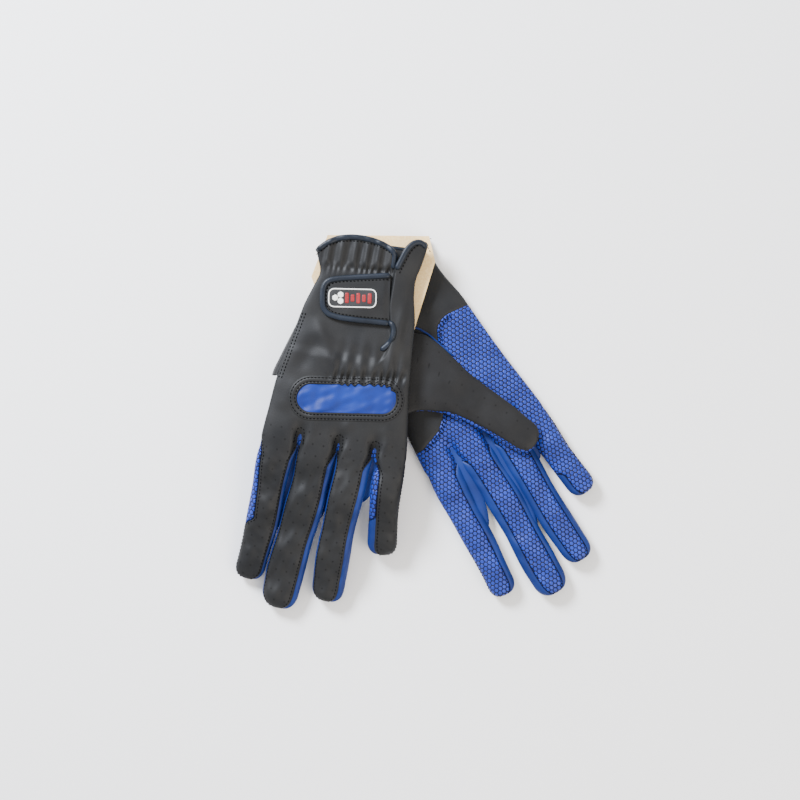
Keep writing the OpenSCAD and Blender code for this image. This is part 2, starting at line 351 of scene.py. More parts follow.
def laid(glove, points):
    """Glove frame in mm to row frame in metres: draw in, bunch, turn about z, move. The
    table presses flat what would reach it: z becomes PRESSED * exp(z / PRESSED - 1)."""
    p = np.asarray(points, float)
    x = p[..., 0] * glove["squeeze"]
    y = np.minimum(p[..., 1], 110) + np.maximum(p[..., 1] - 110, 0) * glove["bunch"]
    z = glove["z"] + glove["up"] * p[..., 2]
    z = np.where(z < PRESSED, PRESSED * np.exp(z / PRESSED - 1), z)
    a = math.radians(glove["turn"])
    return MM * xyz(glove["at"][0] + x * math.cos(a) - y * math.sin(a),
                    glove["at"][1] + x * math.sin(a) + y * math.cos(a), z)


# %% [markdown]
# A grid of points becomes a mesh with one quad per cell. The winding is checked against
# a point inside the glove, so that faces always look outwards, and doubled points at a
# tip are merged. A solidify modifier then gives the cloth its thickness, inwards.

# %% From a grid of points to a piece
def normals_of(grid):
    """Unit normals of a grid: the cross product of its two directions' differences."""
    return unit(np.cross(np.gradient(grid, axis=0), np.gradient(grid, axis=1)))


def outward_sign(grid, inside):
    """+1 where the grid's own normals point away from the inside points, else -1."""
    away = (normals_of(grid) * (grid - inside)).sum(-1)
    return 1.0 if away.mean() > 0 else -1.0


def quads(rows, columns, flip):
    """Corner numbers of every cell of a rows by columns grid."""
    first = (np.arange(rows - 1)[:, None] * columns + np.arange(columns - 1)).reshape(-1, 1)
    order = [0, columns, columns + 1, 1] if not flip else [0, 1, columns + 1, columns]
    return first + np.array(order)


def piece(name, points, faces, material, uv=None):
    """A mesh object from row-frame points in metres, with doubles merged."""
    mesh = bpy.data.meshes.new(name)
    mesh.from_pydata(points.reshape(-1, 3).tolist(), [], faces.tolist())
    if uv is not None:
        layer = mesh.uv_layers.new(name="cut")
        corner = np.empty(len(mesh.loops), int)
        mesh.loops.foreach_get("vertex_index", corner)
        layer.data.foreach_set("uv", (uv.reshape(-1, 2)[corner] * MM).ravel())
    mesh.materials.append(material)
    mesh.polygons.foreach_set("use_smooth", np.ones(len(mesh.polygons), bool))
    work = bmesh.new()
    work.from_mesh(mesh)
    bmesh.ops.remove_doubles(work, verts=work.verts, dist=2e-6)
    bmesh.ops.dissolve_degenerate(work, edges=work.edges, dist=1e-7)
    work.to_mesh(mesh)
    work.free()
    mesh.validate()
    made = bpy.data.objects.new(name, mesh)
    bpy.context.scene.collection.objects.link(made)
    return made


def cloth(name, glove, grid, inside, material, uv=None, thick=0.9):
    """A thin panel: the grid is its outer face and it grows inwards by its thickness."""
    flip = outward_sign(grid, inside) * glove["up"] < 0
    made = piece(name, laid(glove, grid), quads(*grid.shape[:2], flip), material, uv)
    if thick:
        solid = made.modifiers.new("thickness", "SOLIDIFY")
        solid.thickness, solid.offset = thick * MM, -1
        solid.use_rim = True
        bpy.context.view_layer.update()
        seen = made.evaluated_get(bpy.context.evaluated_depsgraph_get())
        made.data, old = bpy.data.meshes.new_from_object(seen), made.data
        made.modifiers.clear()
        bpy.data.meshes.remove(old)
        made.data.name = name
        made.data.set_sharp_from_angle(angle=math.radians(55))
    return made


# %% [markdown]
# Stitches and bound edges are carried along paths. A bead is an oval profile moved along
# a path, lying across the surface normal. A row of stitches is one small capsule,
# copied every few millimetres along the path and slightly sunk into the leather.

# %% Beads and stitches
def spaced(path, step, *others):
    """The path resampled at even distances, with any arrays that go with its points."""
    length = lengths(path)
    count = max(int(round(length[-1] / step)), 2)
    at = np.linspace(0, length[-1], count + 1)
    return [np.stack([np.interp(at, length, a[:, k]) for k in range(a.shape[1])], 1)
            for a in (path, *others)]


def bead_grid(path, normal, half_width, half_height, segments=14, power=2.3):
    """Carries |x/a|^n + |z/b|^n = 1 along the path; its ends taper shut."""
    tangent = unit(np.gradient(path, axis=0))
    side = unit(np.cross(tangent, normal))
    up = np.cross(side, tangent)
    angle = np.linspace(0, 2 * math.pi, segments + 1)
    c, s = np.cos(angle), np.sin(angle)
    x = half_width * np.sign(c) * np.abs(c) ** (2 / power)
    z = half_height * np.sign(s) * np.abs(s) ** (2 / power)
    steps = np.arange(len(path))
    ends = np.clip(np.minimum(steps, len(path) - 1 - steps) / 2.0, 0, 1)
    ends = np.sqrt(1 - (1 - ends) ** 2)[:, None, None]
    return path[:, None] + ends * (side[:, None] * x[None, :, None]
                                   + up[:, None] * z[None, :, None])


def bead(name, glove, path, normal, half_width, half_height, material, step=1.2):
    path, normal = spaced(path, step, normal)
    grid = bead_grid(path, normal, half_width, half_height)
    return cloth(name, glove, grid, path[:, None], material, thick=0)


def stitch_points(path, normal, pitch=2.3, long=0.78, thin=0.3, sunk=0.05):
    """Points (count, rings, sides, 3) of capsules that lie along the path."""
    path, normal = spaced(path, pitch, normal)
    tangent, normal = unit(np.gradient(path, axis=0)), unit(normal)
    side = np.cross(normal, tangent)
    ring = np.linspace(-1, 1, 5)
    fat = np.sqrt(np.clip(1 - ring ** 4, 0, 1))
    angle = np.linspace(0, 2 * math.pi, 7)
    local = xyz((long * ring)[:, None], thin * fat[:, None] * np.cos(angle),
                thin * fat[:, None] * np.sin(angle))
    middle = path + normal * sunk
    return middle[:, None, None] + (local[None, ..., :1] * tangent[:, None, None]
                                    + local[None, ..., 1:2] * side[:, None, None]
                                    + local[None, ..., 2:] * normal[:, None, None])


def stitches(name, glove, rows, material, **shape):
    """One piece from several rows; a row is a path and its normals, in the glove frame."""
    blocks = np.concatenate([stitch_points(p, n, **shape) for p, n in rows])
    count, rings, sides, _ = blocks.shape
    one = quads(rings, sides, glove["up"] > 0)
    faces = (one[None] + (np.arange(count) * rings * sides)[:, None, None]).reshape(-1, 4)
    return piece(name, laid(glove, blocks), faces, material)


# %% [markdown]
# The hand is described by its side edges, by how high its back and how low its palm
# stand at each point, and by what the sewing does to them: valleys between the finger
# roots, gathers over the knuckles and round the wrist, and soft folds everywhere.

# %% The hand's outline and heights
THUMB_SIDE = np.array([(-46.5, -30), (-46.5, -4), (-45.3, 12), (-44, 31), (-35, 82), (-28, 104),
                       (-34, 118), (-34.5, 140)], float)
LITTLE_SIDE = np.array([(47.2, -30), (47.2, -4), (45.6, 9), (41.7, 35), (39.2, 57), (37, 83),
                        (33.3, 99), (32.3, 109), (34.7, 119.6), (36.4, 131), (36.4, 140)], float)
CUFF_TOP = np.array([(-34, 118), (-27, 124.2), (-20.3, 128.0), (-13, 129.9), (-5.6, 130.6),
                     (1, 130.4), (7.5, 129.2), (13, 127), (16.6, 124.4), (17.6, 113),
                     (18.2, 113), (23.6, 128.6), (25.6, 132), (28.2, 134), (31, 134.8),
                     (33.9, 134.2), (36.4, 131.5)], float)
GRIP_EDGE = np.array([(-60, 8.2), (-40, 8.4), (-24, 14), (-14, 23), (0, 45), (6, 62),
                      (9, 69), (11.6, 72.6), (15, 74.8), (19, 76), (23, 76.2), (60, 73)], float)
SLIT = np.array([(17.8, 8), (17.8, 52), (22.5, 60), (24.3, 69.5), (21.6, 78), (18.7, 90),
                 (18.2, 113), (18.6, 140)], float)


def smooth(a, b, x):
    """0 before a, 1 after b, and 3t^2 - 2t^3 between."""
    t = np.clip((np.asarray(x, float) - a) / (b - a), 0, 1)
    return t * t * (3 - 2 * t)


def along(points, y, value=0, key=1, soften=3.0):
    """The edge's x at a given y, averaged over a few mm so that corners come out round."""
    shifts = np.linspace(-soften, soften, 7)
    return sum(np.interp(np.asarray(y) + s, points[:, key], points[:, value])
               for s in shifts) / len(shifts)


def hand_x(s, y):
    """x at s from -1 to 1 across the hand; the sine packs columns near the side edges."""
    left, right = along(THUMB_SIDE, y), along(LITTLE_SIDE, y)
    return (left + right) / 2 + (right - left) / 2 * np.sin(math.pi / 2 * s)


def hand_s(x, y):
    """The inverse of hand_x."""
    left, right = along(THUMB_SIDE, y), along(LITTLE_SIDE, y)
    return 2 / math.pi * np.arcsin(np.clip((x - (left + right) / 2) / ((right - left) / 2), -1, 1))


def folds(x, y, seed, size=0.5, longest=46, shortest=13):
    """Soft unevenness: seven sine waves in random directions, the short ones weaker."""
    draw = np.random.default_rng(seed)
    total = 0
    for wave in np.geomspace(longest, shortest, 7):
        turn, phase = draw.uniform(0, math.pi), draw.uniform(0, 2 * math.pi)
        along_wave = x * math.cos(turn) + y * math.sin(turn)
        total = total + wave / longest * np.sin(2 * math.pi * along_wave / wave + phase)
    return size * total / 2


def valleys(x, y):
    """How far the surface sinks between the finger roots."""
    depth = HALF * smooth(15, HINGE_Y, y) ** 1.6
    width = 2.6 + 0.2 * np.clip(y - HINGE_Y, 0, 30)
    return sum(depth * np.exp(-((x - c) / width) ** 2) for c in CROTCH_X)


def gathers(x, y):
    """Elastic gathers: fine ridges across each elastic, and longer folds that fan out."""
    d = y - (41.5 + CROSS_SLOPE * (x - OVAL_AT[0]))
    window = smooth(-14, -4, x) * smooth(41, 33, x)
    wave = x + 0.09 * d * np.sin(x / 9.0) + 1.3 * np.sin(x / 4.1)
    fine = 0.85 * np.exp(-(d / 4.4) ** 2) * np.cos(2 * math.pi * wave / 4.9)
    fan = 0.48 * np.exp(-((d - 9) / 10.0) ** 2) * np.cos(
        2 * math.pi * (x * (1 + 0.006 * d)) / 9.3 + 0.6)
    pinch = -1.2 * np.exp(-(d / 3.2) ** 2)
    total = window * (fine + fan * smooth(-4, 4, d) + pinch)
    d = y - (109.8 + WRIST_SLOPE * x)
    window = smooth(-31, -25, x) * smooth(18.5, 15, x)
    wave = x + 0.9 * np.sin(x / 3.1)
    fine = 0.75 * np.exp(-(d / 2.8) ** 2) * np.cos(2 * math.pi * wave / 3.9)
    fan = 0.85 * smooth(0, 6, d) * smooth(24, 13, d) * np.cos(
        2 * math.pi * (x + 0.5 * np.sin(x / 5.0)) / 7.9 + 1.0)
    pinch = -1.3 * np.exp(-(d / 2.6) ** 2)
    return total + window * (fine + fan + pinch)


def creases(x, y):
    """Single soft folds, each along a line: height times exp(-(d / width)^2), faded out
    over a third of its length at both ends."""
    total = 0
    for x0, y0, x1, y1, height, width in CREASES:
        long = math.hypot(x1 - x0, y1 - y0)
        u = ((x - x0) * (x1 - x0) + (y - y0) * (y1 - y0)) / long ** 2
        d = ((x - x0) * (y1 - y0) - (y - y0) * (x1 - x0)) / long
        fade = smooth(-0.15, 0.25, u) * smooth(1.15, 0.75, u)
        total = total + height * fade * np.exp(-(d / width) ** 2)
    return total


# Folds that a worn hand leaves: start, end, height and width of each, in mm
CREASES = [(-25, 74, -9, 47, 0.8, 3.6), (-31, 40, -22, 62, -0.8, 5), (26, 50, 29, 92, 0.9, 3.4),
           (33, 60, 31, 110, -0.7, 3), (-20, 22, -14, 2, 0.7, 4), (8, 14, 2, 1, 0.7, 3.5),
           (-36, 14, -30, 34, 0.6, 5), (30, 14, 34, 0, 0.6, 4)]


def oval_distance(x, y):
    """Distance outside the knuckle panel's outline, negative inside: the outline is all
    points at a radius from a straight line."""
    c, s = math.cos(CROSS_LEAN), math.sin(CROSS_LEAN)
    u = (x - OVAL_AT[0]) * c + (y - OVAL_AT[1]) * s
    v = -(x - OVAL_AT[0]) * s + (y - OVAL_AT[1]) * c
    return np.hypot(np.maximum(np.abs(u) - OVAL_STRAIGHT / 2, 0), v) - OVAL_R


def tab_zone(x, y):
    """1 under the closed tab, 0 away from it."""
    return smooth(-36, -26, x) * smooth(22, 17, x) * smooth(72, 80, y) * smooth(112, 106, y)


def section(s):
    """Half height of the hand's oval section at s, from 0 at the edges to 1."""
    return (1 - np.abs(np.sin(math.pi / 2 * s)) ** SECTION_POWER) ** (1 / SECTION_POWER)


def off_edge(s):
    """0 at the hand's side edges and 1 away from them."""
    return smooth(1.0, 0.86, np.abs(s))


def back_height(s, x, y, sunk=True):
    """z of the back: a flattened oval section, set in under the tab on the cuff's side of
    the slit, less the valleys, plus gathers and folds that die out at the side edges. The
    leather is sunk a little under the knuckle panel that is laid over it."""
    cuff_side = smooth(0.9, -0.9, x - along(SLIT, y))
    drop = cuff_side * (1.3 * smooth(50, 57, y) + 1.4 * smooth(62, 76, y))
    soft = gathers(x, y) + creases(x, y) + 0.55 * folds(x, y, 3)
    z = (HALF + (HALF - drop) * section(s) + off_edge(s) * soft * (1 - 0.85 * tab_zone(x, y))
         - valleys(x, y))
    if sunk:
        z = z - 2.6 * smooth(1.6, -0.8, oval_distance(x, y))
    return np.maximum(z, HALF + 0.05)


def palm_height(s, x, y):
    """z of the palm's face, the same section turned down."""
    z = HALF - HALF * section(s) + off_edge(s) * folds(x, y, 8, 0.45) + valleys(x, y)
    return np.minimum(z, HALF - 0.05)


def edge_run(grid):
    """Distance of each grid point from the first one of its row, along the row."""
    run = np.linalg.norm(np.diff(grid, axis=1), axis=-1)
    return np.concatenate([np.zeros((len(grid), 1)), np.cumsum(run, axis=1)], axis=1)


def edge_dip(grid, sign, depth=0.5, width=0.9, first=True, last=True, fade=None):
    """Turns the two long edges of a panel down into the seam: each row's points move
    inwards by depth * exp(-(distance to the edge / width)^2)."""
    run = edge_run(grid)
    dip = 0
    if first:
        dip = dip + np.exp(-(run / width) ** 2)
    if last:
        dip = dip + np.exp(-((run[:, -1:] - run) / width) ** 2)
    if fade is not None:
        dip = dip * fade[:, None]
    return grid - sign * depth * dip[..., None] * normals_of(grid)


# %% [markdown]
# The hand's two large sheets. The rows of the back run straight up to the wrist and then
# stretch to meet the shaped cuff edge, with its notch at the slit. The palm is cut in
# two: grip fabric up to a curved seam, and a plain leather heel beyond it.

# %% Hand sheets
SPLIT_Y = 8.0           # finger panels begin here
HEEL_TOP = ([-34, -20, 0, 20, 34, 36.4], [117, 124, 127, 128, 129, 127])    # x and y


def cuff_top(x):
    return np.interp(x, CUFF_TOP[:, 0], CUFF_TOP[:, 1])


def hand_grid(low, high, rows, columns, height):
    """Grid between two rows of y given for each column, with z from a height function."""
    s = np.linspace(-1, 1, columns)[None, :]
    v = np.linspace(0, 1, rows)[:, None]
    y = low(s) + (high(s) - low(s)) * v
    x = hand_x(s + 0 * v, y)
    return xyz(x, y, height(s + 0 * v, x, y))


def level(y):
    """A row of constant y, for hand_grid."""
    return lambda s: y + 0 * s


def cuff_row(s):
    return cuff_top(hand_x(s, 124.0 + 0 * s))


def heel_row(s):
    return np.interp(hand_x(s, 124.0 + 0 * s), *HEEL_TOP)


def back_sheet():
    lower = hand_grid(level(SPLIT_Y), level(104.0), 110, 150, back_height)
    upper = hand_grid(level(104.0), cuff_row, 34, 150, back_height)
    return np.concatenate([lower, upper[1:]])


def palm_edge_y(s):
    """y of the grip's upper seam at each column, found by a few rounds of x(s, y)."""
    y = 40.0 + 0 * s
    for _ in range(12):
        y = 0.5 * y + 0.5 * along(GRIP_EDGE, hand_x(s, y), 1, 0, 1.2)
    return y


def mid_plane(grid):
    """The point of the mid plane below or above each grid point."""
    return xyz(grid[..., 0], grid[..., 1], HALF)


def hemmed(grid, row=None, depth=0.0):
    """Turns a hand sheet's side edges down into the seam, and its first or last row too
    where row names it."""
    grid = edge_dip(grid, outward_sign(grid, mid_plane(grid)), 0.4)
    if row is None:
        return grid
    turned = grid.transpose(1, 0, 2)
    sign = outward_sign(turned, mid_plane(turned))
    turned = edge_dip(turned, sign, depth, first=row == "first", last=row == "last")
    return turned.transpose(1, 0, 2)


pieces = []


def keep(obj, slot_name, *nodes):
    """Notes the piece and hides the CAD nodes it stands for; the slot name it is given is not
    used.
    """
    if nodes:
        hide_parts(*nodes)
    pieces.append(obj.name)


def ride(obj, slot_name, body, *nodes):
    """Keeps a piece that moves with one body."""
    keep(obj, slot_name, *nodes)
    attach(obj, body)


def bend(obj, slot_name, side, part, ends, *nodes):
    """Keeps a piece that runs from the hand onto a finger or the thumb, and bakes its placement
    into its points.
    """
    keep(obj, slot_name, *nodes)
    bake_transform(obj)


for side, glove in GLOVES.items():
    hand = side + "_hand"
    grid = hemmed(back_sheet())
    back = cloth(side + "_hand_back", glove, grid, mid_plane(grid), HAND_LEATHER)
    ride(back, "leather", hand, side + "_back_panel", side + "_cuff_back", side + "_cuff_flap")
    grid = hemmed(hand_grid(level(SPLIT_Y), palm_edge_y, 66, 120, palm_height), "last", 0.45)
    palm = cloth(side + "_palm_grip", glove, grid, mid_plane(grid), GRIP_FABRIC, grid[..., :2])
    ride(palm, "grip", hand, side + "_palm_panel")
    grid = hemmed(hand_grid(palm_edge_y, heel_row, 80, 120, palm_height), "first", 0.6)
    heel = cloth(side + "_palm_heel_skin", glove, grid, mid_plane(grid), HAND_LEATHER)
    ride(heel, "leather", hand, side + "_palm_heel")
print("hand sheets:", len(pieces))

# %% [markdown]
# Each finger stall is one tube cut in strips: a leather back, a grip palm and a stretch
# strip on each side that faces another finger. The strips meet at four angles round the
# tube. Towards the hand the tube melts into the hand's own sheets, so that the leather
# runs from the hand onto the finger without a seam, as it is cut in one.

# %% Finger stalls
# Angles of the seams in degrees round the tube, from the little finger's side over the
# back: back strip from a to b, thumb-side strip b to c, palm c to d, little-side d to a.
SEAMS = [(36, None, None, 299), (46, 170, 240, 310), (53, 168, 238, 308), (-6, 117, None, 354)]
STALL_POWER = 2.4


def seams_at(i, t):
    """The four angles at distance t. On the index, grip fabric shows beside the back until
    the leather takes over; on the little finger it climbs the thumb's side of the stall."""
    a, b, c, d = SEAMS[i]
    if i == 0:
        b = c = 143 - 26 * np.clip(t, 0, 56) / 56 + 68 * smooth(53, 62, t)
    if i == 3:
        c = 119 + 121 * smooth(36, 47, t)
    return a, b, c, d


def stall_rows(i):
    """Distances along the stall from its hinge line, closer together round the tip."""
    length, round_end = LENGTHS[i], TIP_WIDTHS[i] * TIP_ROUND
    straight = np.arange(HINGE_Y - SPLIT_Y, length - round_end, 1.35)
    tip = length - round_end + round_end * np.sin(np.linspace(0, math.pi / 2, 15))
    return np.r_[straight, tip]


def taper(i, t):
    """How far t is from the hinge line to the round of the tip, and the half width there."""
    k = np.clip(t / (LENGTHS[i] - TIP_WIDTHS[i] * TIP_ROUND), 0, 1)
    return k, (ROOT_WIDTHS[i] * (1 - k) + TIP_WIDTHS[i] * k) / 2


def tube(i, t, angle, seed):
    """Point of the stall's tube at distance t and at an angle: an oval section whose half
    width follows the stall's taper, drawn to nothing over the tip."""
    length, round_end = LENGTHS[i], TIP_WIDTHS[i] * TIP_ROUND
    k, half_w = taper(i, t)
    into = np.clip((t - length + round_end) / round_end, 0, 1)
    shut = (1 - into ** 2.5) ** (1 / 2.5)
    puff = 1 + 0.025 * np.sin(t / 7.0 + i * 2) * smooth(5, 25, t)
    half_w = half_w * puff * shut
    half_h = HALF * (1 - 0.10 * k) * shut ** 0.8 * (1 + 0.035 * np.sin(t / 5.3 + i))
    c, s = np.cos(angle), np.sin(angle)
    x = half_w * np.sign(c) * np.abs(c) ** (2 / STALL_POWER)
    z = HALF * (1 - 0.10 * k) + half_h * np.sign(s) * np.abs(s) ** (2 / STALL_POWER)
    sway = 0.9 * np.sin(t / 19.0 + 1.7 * i + seed) * smooth(0, 30, t)
    crease = (folds(x * 1.4 + 9 * i, t * 1.3, seed + i, 0.6, 30, 8)
              + 0.55 * np.sin(2 * math.pi * t / (31 + 3 * i) + seed + 2 * i))
    crease = crease * smooth(0, 16, t) * shut
    return xyz(x + sway, -t, z + crease * np.sign(s) * np.abs(s) ** 0.5)


def leaned(glove, i, points):
    """Stall frame to glove frame: the droop bends in gradually round the hinge line, then
    the stall leans about z and moves to its place. The centre line's own direction is the
    droop times smooth(-11, 11, t - bend), summed along t."""
    p = np.array(points, float)
    t = -p[..., 1]
    bend = BEND_AT[i]
    fine = np.arange(bend - 11, 130, 0.1)
    angle = math.radians(glove["droop"][i]) * smooth(bend - 11, bend + 11, fine)
    run_y = 11 - bend - np.r_[0, np.cumsum(np.cos(angle[:-1]) * 0.1)]
    run_z = -np.r_[0, np.cumsum(np.sin(angle[:-1]) * 0.1)]
    here = np.interp(t, fine, angle, left=0)
    y = np.where(t < bend - 11, -t, np.interp(t, fine, run_y)) - p[..., 2] * np.sin(here)
    z = np.interp(t, fine, run_z, left=0) + p[..., 2] * np.cos(here)
    lean = math.radians(glove["lean"][i]) * smooth(-2, 10, t)
    x = p[..., 0]
    return xyz(STALL_X[i] + x * np.cos(lean) - y * np.sin(lean),
               HINGE_Y + x * np.sin(lean) + y * np.cos(lean), z)


def bend_ends(glove, i):
    """Two points on the stall's centre line, 3 mm before and 12 mm past where it bends."""
    turn = math.radians(glove["lean"][i])
    hinge = np.array([STALL_X[i], HINGE_Y, 0.0])
    forward = np.array([math.sin(turn), -math.cos(turn), 0])
    return [laid(glove, hinge + forward * (BEND_AT[i] + d)) for d in (-3.0, 12.0)]


def root_sheet(i, t, q, height):
    """The hand's own surface in the stall's frame: columns between the two crotch lines,
    carried straight on past the hinge line."""
    y = HINGE_Y - t
    bounds = [None, *CROTCH_X, None]
    low = -1 + 0 * y if bounds[i] is None else hand_s(bounds[i] + 0 * y, y)
    high = 1 + 0 * y if bounds[i + 1] is None else hand_s(bounds[i + 1] + 0 * y, y)
    s = low + (high - low) * q
    at = np.maximum(y, HINGE_Y)
    x = hand_x(s, at)
    return xyz(x - STALL_X[i], -t, height(s, x, at))


def strip(i, q, t, strip_name, seed):
    """A strip's points. The melt from the hand's sheet to the tube is smooth(0, 13, t)."""
    a, b, c, d = seams_at(i, t)
    first, last = {"back": (b, a), "palm": (c, d), "thumb_side": (b, c),
                   "little_side": (a, d - 360)}[strip_name]
    if strip_name in ("back", "palm"):
        height = back_height if strip_name == "back" else palm_height
        root = root_sheet(i, t + 0 * q, q + 0 * t, height)
    else:
        corner = 0.0 if strip_name == "thumb_side" else 1.0
        root = root_sheet(i, t + 0 * q, corner + 0 * q + 0 * t, back_height)
        root[..., 2] = HALF
    melt = smooth(0, 13, t)[..., None]
    angle = np.radians(first + (last - first) * q)
    return (1 - melt) * root + melt * tube(i, t + 0 * q, angle + 0 * t, seed)


def fabric_uv(grid):
    """Flat-cut coordinates in mm: across is the arc length from the stall's centre line,
    along is the stall's y, so that the hexagons run on from the palm."""
    run = edge_run(grid[..., [0, 2]])
    centre = np.argmin(np.abs(grid[..., 0]), axis=1)[:, None]
    zero = np.take_along_axis(run, centre, 1)
    offset = np.take_along_axis(grid[..., 0], centre, 1)
    return np.stack([run - zero + offset, grid[..., 1]], -1)


def seam_path(grid, sign, distance, from_first, first_row, last_row):
    """The line on a grid at a distance from one of its long edges, with its normals."""
    normal = normals_of(grid) * sign
    path, up = [], []
    for r in range(first_row, last_row):
        row, n = (grid[r], normal[r]) if from_first else (grid[r][::-1], normal[r][::-1])
        run = lengths(row)
        if run[-1] < 3 * distance:
            break
        path.append([np.interp(distance, run, row[:, k]) for k in range(3)])
        up.append([np.interp(distance, run, n[:, k]) for k in range(3)])
    return np.array(path), np.array(up)


# Each strip's columns, material, slot and CAD node
STRIPS = {"back": (34, FINGER_LEATHER, "leather", "back"),
          "palm": (40, GRIP_FABRIC, "grip", "palm"),
          "thumb_side": (12, STRETCH_KNIT, "stretch", "fourchette"),
          "little_side": (12, STRETCH_KNIT, "stretch", "fourchette")}
# Each thread's name, distance from the strip's edges, start along the stall, how many rows
# before the tip it stops, its material and the shape of its stitches
THREADS = {"back": ("topstitch", 1.9, 3.0, 4, BLACK_THREAD, {}),
           "palm": ("seam", 0.15, 5.0, 3, BLUE_THREAD,
                    dict(pitch=1.9, long=1.0, thin=0.45, sunk=0.2))}
for side, glove in GLOVES.items():
    seed = 11 if side == "left" else 23
    for i, finger in enumerate(FINGERS):
        ends = bend_ends(glove, i)
        for name, (columns, material, slot_name, node) in STRIPS.items():
            if (i == 0 and name == "thumb_side") or (i == 3 and name == "little_side"):
                continue
            t = stall_rows(i)
            if slot_name == "stretch":
                t = t[t >= 0]
            flat = strip(i, np.linspace(0, 1, columns)[None, :], t[:, None], name, seed)
            grid = leaned(glove, i, flat)
            centre = leaned(glove, i, xyz(0, flat[..., 1], HALF))
            sign = outward_sign(grid, centre)
            uv = None if slot_name == "stretch" else fabric_uv(flat)
            if name == "palm":
                uv = uv + np.array([STALL_X[i], HINGE_Y])
            grid = edge_dip(grid, sign, 0.55, 0.9, fade=smooth(-1, 6, t))
            made = cloth(f"{side}_{finger}_{name}_strip", glove, grid, centre, material, uv)
            bend(made, slot_name, side, finger, ends, f"{side}_{finger}_{node}")
            if name not in THREADS:
                continue
            label, distance, begin, rest, thread, shape = THREADS[name]
            first = int(np.searchsorted(t, begin))
            rows = [seam_path(grid, sign, distance, edge, first, len(t) - rest)
                    for edge in (True, False)]
            bend(stitches(f"{side}_{finger}_{label}", glove, rows, thread, **shape), "trim",
                 side, finger, ends)
print("pieces so far:", len(pieces))

# %% [markdown]
# Between neighbouring fingers the stretch strips are joined by a small web that sags
# into a fold. It keeps the crotch closed when the glove is empty. Each web belongs to
# the finger on its thumb side.

# %% Webs between the fingers
def below(grid, depth=4.0):
    return grid - np.array([0, 0, depth])


# How far each web reaches past its stall's side, and how far it runs along it
WEBS = {"left": [(4.0, 66), (4.0, 50), (7.0, 31)], "right": [(6.5, 52), (5.0, 68), (7.5, 31)]}


def web(i, spare, long, lift):
    """Rows from the crotch along the stall; q runs from inside the stall's side to spare
    mm past it. The free end is cut to an arc, and the fold's depth is sin(pi q). At the
    crotch itself the web is lifted, so that it closes the notch."""
    t = np.linspace(-9, long, 44)[:, None]
    q = np.linspace(0, 1, 14)[None, :]
    _, half_w = taper(i, t)
    reach = (3.0 + spare) * np.sqrt(np.clip(1 - np.clip(t / long, 0, 1) ** 3, 0.002, 1))
    x = half_w - 3.0 + reach * q
    z = (HALF - 0.4 - 1.1 * np.sin(math.pi * q) * smooth(-4, 8, t)
         + 0.25 * np.sin(t / 4.0 + 3 * q) + lift * smooth(7, -1, t))
    return xyz(x, -t, z)


for side, glove in GLOVES.items():
    for i, (spare, long) in enumerate(WEBS[side]):
        grid = leaned(glove, i, web(i, spare, long, 1.1 if side == "left" else 0.0))
        made = cloth(f"{side}_{FINGERS[i]}_web", glove, grid, below(grid, 3.0), STRETCH_KNIT,
                     thick=0.7)
        bend(made, "stretch", side, FINGERS[i], bend_ends(glove, i))
print("pieces with the webs:", len(pieces))

# %% [markdown]
# The knuckle panel is an oval of stretch knit sewn behind a hole in the leather. Its
# leather border is a soft raised ring with two rows of stitches, and its upper inner
# edge is scalloped, where the elastic behind it gathers the leather.

# %% Knuckle panel
def oval(u, offset):
    """Points at u from 0 to 1 round the oval and at an offset outwards from its outline:
    two half circles joined by straights, turned by the cross lean."""
    arc, half = math.pi * OVAL_R, OVAL_STRAIGHT / 2
    run = np.mod(u, 1.0) * 2 * (arc + OVAL_STRAIGHT)
    stage = [run < OVAL_STRAIGHT, run < OVAL_STRAIGHT + arc, run < 2 * OVAL_STRAIGHT + arc]
    x = np.select(stage, [run - half, half + 0 * run, half - (run - OVAL_STRAIGHT - arc)],
                  -half + 0 * run)
    turn = np.select(stage, [0 * run - 90, (run - OVAL_STRAIGHT) / OVAL_R * 180 / math.pi - 90,
                             0 * run + 90],
                     90 + (run - 2 * OVAL_STRAIGHT - arc) / OVAL_R * 180 / math.pi)
    u1 = x + (OVAL_R + offset) * np.cos(np.radians(turn))
    v1 = (OVAL_R + offset) * np.sin(np.radians(turn))
    c, s = math.cos(CROSS_LEAN), math.sin(CROSS_LEAN)
    return OVAL_AT[0] + u1 * c - v1 * s, OVAL_AT[1] + u1 * s + v1 * c


def scallops(x, y):
    """How far the border's inner edge waves in and out, along the gathered upper side."""
    level_y = y - CROSS_SLOPE * (x - OVAL_AT[0])
    upper = smooth(27.5, 31, level_y) * smooth(-7, 3, x) * smooth(38, 30, x)
    return 0.85 * upper * np.cos(2 * math.pi * (x + 1.3 * np.sin(x / 4.1)) / 4.9)


def back_z(x, y, **how):
    return back_height(hand_s(x, y), x, y, **how)


def on_back(x, y, lift=0.0, **how):
    """Points on the back at x and y, raised by lift, and the surface normals there."""
    x, y = np.asarray(x, float), np.asarray(y, float)
    z = back_z(x, y, **how)
    slope_x = (back_z(x + 0.4, y, **how) - back_z(x - 0.4, y, **how)) / 0.8
    slope_y = (back_z(x, y + 0.4, **how) - back_z(x, y - 0.4, **how)) / 0.8
    return xyz(x, y, z + lift), unit(xyz(-slope_x, -slope_y, 1.0))


